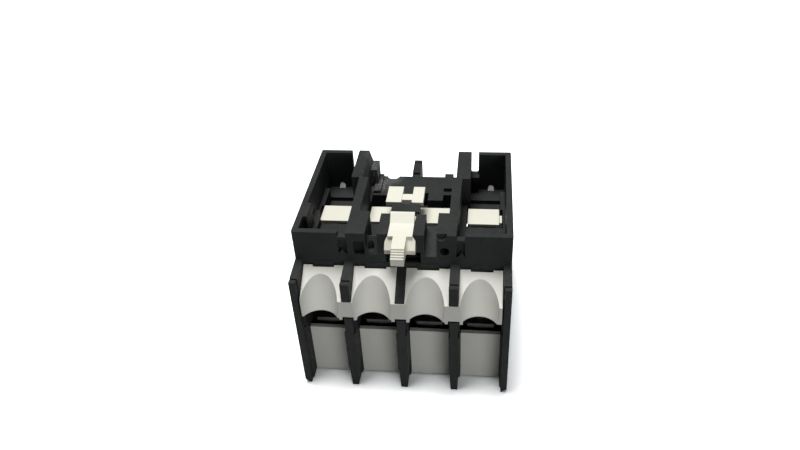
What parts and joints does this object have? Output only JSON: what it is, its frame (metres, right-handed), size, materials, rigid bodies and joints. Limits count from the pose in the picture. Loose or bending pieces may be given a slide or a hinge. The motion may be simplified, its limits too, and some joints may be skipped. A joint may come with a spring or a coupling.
{
  "type": "auxiliary contact block",
  "caption": "Clip-on auxiliary contact block for a contactor, with clamp terminals behind wire funnels, a sprung contact carrier and a release latch.",
  "frame": {"origin": "centre of the bounding box in X and Y, on the plane of the feet that the block lies on", "axes": "+Z towards the contactor, out of the open side; -Y towards the latch side with its tongue; +X to the right as seen from the latch side"},
  "size_m": [0.044, 0.0458, 0.0379],
  "materials": {
    "charcoal_plastic": "matt moulded",
    "cream_plastic": "satin moulded",
    "ivory_plastic": "satin moulded",
    "contact_brass": "stamped",
    "zinc_plated_steel": "zinc plated",
    "spring_steel": "bright wire"
  },
  "bodies": {
    "housing": {"front_housing": "charcoal_plastic", "rear_housing": "charcoal_plastic", "front_cover": "cream_plastic", "front_side_funnels": "cream_plastic", "back_side_funnels": "cream_plastic", "return_spring_left": "spring_steel", "return_spring_right": "spring_steel", "latch_spring": "spring_steel", "fixed_contact_front_1": "contact_brass", "fixed_contact_front_2": "contact_brass", "fixed_contact_front_3": "contact_brass", "fixed_contact_front_4": "contact_brass", "fixed_contact_back_1": "contact_brass", "fixed_contact_back_2": "contact_brass", "fixed_contact_back_3": "contact_brass", "fixed_contact_back_4": "contact_brass"},
    "carrier": {"contact_carrier": "ivory_plastic", "contact_spring_1": "spring_steel", "contact_spring_2": "spring_steel", "contact_spring_3": "spring_steel", "contact_spring_4": "spring_steel"},
    "latch": {"latch": "ivory_plastic"},
    "moving_contact_1": {"moving_contact_1": "contact_brass"},
    "moving_contact_2": {"moving_contact_2": "contact_brass"},
    "moving_contact_3": {"moving_contact_3": "contact_brass"},
    "moving_contact_4": {"moving_contact_4": "contact_brass"},
    "clamp_front_1": {"clamp_front_1": "zinc_plated_steel"},
    "terminal_screw_front_1": {"terminal_screw_front_1": "zinc_plated_steel"},
    "clamp_front_2": {"clamp_front_2": "zinc_plated_steel"},
    "terminal_screw_front_2": {"terminal_screw_front_2": "zinc_plated_steel"},
    "clamp_front_3": {"clamp_front_3": "zinc_plated_steel"},
    "terminal_screw_front_3": {"terminal_screw_front_3": "zinc_plated_steel"},
    "clamp_front_4": {"clamp_front_4": "zinc_plated_steel"},
    "terminal_screw_front_4": {"terminal_screw_front_4": "zinc_plated_steel"},
    "clamp_back_1": {"clamp_back_1": "zinc_plated_steel"},
    "terminal_screw_back_1": {"terminal_screw_back_1": "zinc_plated_steel"},
    "clamp_back_2": {"clamp_back_2": "zinc_plated_steel"},
    "terminal_screw_back_2": {"terminal_screw_back_2": "zinc_plated_steel"},
    "clamp_back_3": {"clamp_back_3": "zinc_plated_steel"},
    "terminal_screw_back_3": {"terminal_screw_back_3": "zinc_plated_steel"},
    "clamp_back_4": {"clamp_back_4": "zinc_plated_steel"},
    "terminal_screw_back_4": {"terminal_screw_back_4": "zinc_plated_steel"}
  },
  "joints": [
    {"name": "carrier_slide", "type": "slide", "parent": "housing", "child": "carrier", "axis": [0, 0, 1], "range_m": [0, 0.003], "stiffness_N_per_m": 300, "springref_m": -0.004, "deforming": ["return_spring_left", "return_spring_right"]},
    {"name": "latch_slide", "type": "slide", "parent": "housing", "child": "latch", "axis": [0, 0, -1], "range_m": [0, 0.0016], "stiffness_N_per_m": 500, "springref_m": -0.002, "deforming": ["latch_spring"]},
    {"name": "moving_contact_1_slide", "type": "slide", "parent": "carrier", "child": "moving_contact_1", "axis": [0, 0, -1], "range_m": [0, 0.0008], "stiffness_N_per_m": 300, "springref_m": -0.002, "deforming": ["contact_spring_1"]},
    {"name": "moving_contact_2_slide", "type": "slide", "parent": "carrier", "child": "moving_contact_2", "axis": [0, 0, 1], "range_m": [0, 0.0008], "stiffness_N_per_m": 300, "springref_m": -0.002, "deforming": ["contact_spring_2"]},
    {"name": "moving_contact_3_slide", "type": "slide", "parent": "carrier", "child": "moving_contact_3", "axis": [0, 0, 1], "range_m": [0, 0.0008], "stiffness_N_per_m": 300, "springref_m": -0.002, "deforming": ["contact_spring_3"]},
    {"name": "moving_contact_4_slide", "type": "slide", "parent": "carrier", "child": "moving_contact_4", "axis": [0, 0, -1], "range_m": [0, 0.0008], "stiffness_N_per_m": 300, "springref_m": -0.002, "deforming": ["contact_spring_4"]},
    {"name": "clamp_front_1_slide", "type": "slide", "parent": "housing", "child": "clamp_front_1", "axis": [0, 0, 1], "range_m": [0, 0.0036]},
    {"name": "terminal_screw_front_1_turn", "type": "hinge", "parent": "clamp_front_1", "child": "terminal_screw_front_1", "pos_m": [-0.01613, -0.0142, 0.0137], "axis": [0, 0, 1], "range_deg": [0, 2160]},
    {"name": "clamp_front_2_slide", "type": "slide", "parent": "housing", "child": "clamp_front_2", "axis": [0, 0, 1], "range_m": [0, 0.0036]},
    {"name": "terminal_screw_front_2_turn", "type": "hinge", "parent": "clamp_front_2", "child": "terminal_screw_front_2", "pos_m": [-0.00537, -0.0142, 0.0137], "axis": [0, 0, 1], "range_deg": [0, 2160]},
    {"name": "clamp_front_3_slide", "type": "slide", "parent": "housing", "child": "clamp_front_3", "axis": [0, 0, 1], "range_m": [0, 0.0036]},
    {"name": "terminal_screw_front_3_turn", "type": "hinge", "parent": "clamp_front_3", "child": "terminal_screw_front_3", "pos_m": [0.00537, -0.0142, 0.0137], "axis": [0, 0, 1], "range_deg": [0, 2160]},
    {"name": "clamp_front_4_slide", "type": "slide", "parent": "housing", "child": "clamp_front_4", "axis": [0, 0, 1], "range_m": [0, 0.0036]},
    {"name": "terminal_screw_front_4_turn", "type": "hinge", "parent": "clamp_front_4", "child": "terminal_screw_front_4", "pos_m": [0.01613, -0.0142, 0.0137], "axis": [0, 0, 1], "range_deg": [0, 2160]},
    {"name": "clamp_back_1_slide", "type": "slide", "parent": "housing", "child": "clamp_back_1", "axis": [0, 0, 1], "range_m": [0, 0.0036]},
    {"name": "terminal_screw_back_1_turn", "type": "hinge", "parent": "clamp_back_1", "child": "terminal_screw_back_1", "pos_m": [-0.01613, 0.0142, 0.0137], "axis": [0, 0, 1], "range_deg": [0, 2160]},
    {"name": "clamp_back_2_slide", "type": "slide", "parent": "housing", "child": "clamp_back_2", "axis": [0, 0, 1], "range_m": [0, 0.0036]},
    {"name": "terminal_screw_back_2_turn", "type": "hinge", "parent": "clamp_back_2", "child": "terminal_screw_back_2", "pos_m": [-0.00537, 0.0142, 0.0137], "axis": [0, 0, 1], "range_deg": [0, 2160]},
    {"name": "clamp_back_3_slide", "type": "slide", "parent": "housing", "child": "clamp_back_3", "axis": [0, 0, 1], "range_m": [0, 0.0036]},
    {"name": "terminal_screw_back_3_turn", "type": "hinge", "parent": "clamp_back_3", "child": "terminal_screw_back_3", "pos_m": [0.00537, 0.0142, 0.0137], "axis": [0, 0, 1], "range_deg": [0, 2160]},
    {"name": "clamp_back_4_slide", "type": "slide", "parent": "housing", "child": "clamp_back_4", "axis": [0, 0, 1], "range_m": [0, 0.0036]},
    {"name": "terminal_screw_back_4_turn", "type": "hinge", "parent": "clamp_back_4", "child": "terminal_screw_back_4", "pos_m": [0.01613, 0.0142, 0.0137], "axis": [0, 0, 1], "range_deg": [0, 2160]}
  ],
  "couplings": [
    {"joint": "terminal_screw_front_1_turn", "follows": "clamp_front_1_slide", "rad_per_m": 10472},
    {"joint": "terminal_screw_front_2_turn", "follows": "clamp_front_2_slide", "rad_per_m": 10472},
    {"joint": "terminal_screw_front_3_turn", "follows": "clamp_front_3_slide", "rad_per_m": 10472},
    {"joint": "terminal_screw_front_4_turn", "follows": "clamp_front_4_slide", "rad_per_m": 10472},
    {"joint": "terminal_screw_back_1_turn", "follows": "clamp_back_1_slide", "rad_per_m": 10472},
    {"joint": "terminal_screw_back_2_turn", "follows": "clamp_back_2_slide", "rad_per_m": 10472},
    {"joint": "terminal_screw_back_3_turn", "follows": "clamp_back_3_slide", "rad_per_m": 10472},
    {"joint": "terminal_screw_back_4_turn", "follows": "clamp_back_4_slide", "rad_per_m": 10472}
  ]
}
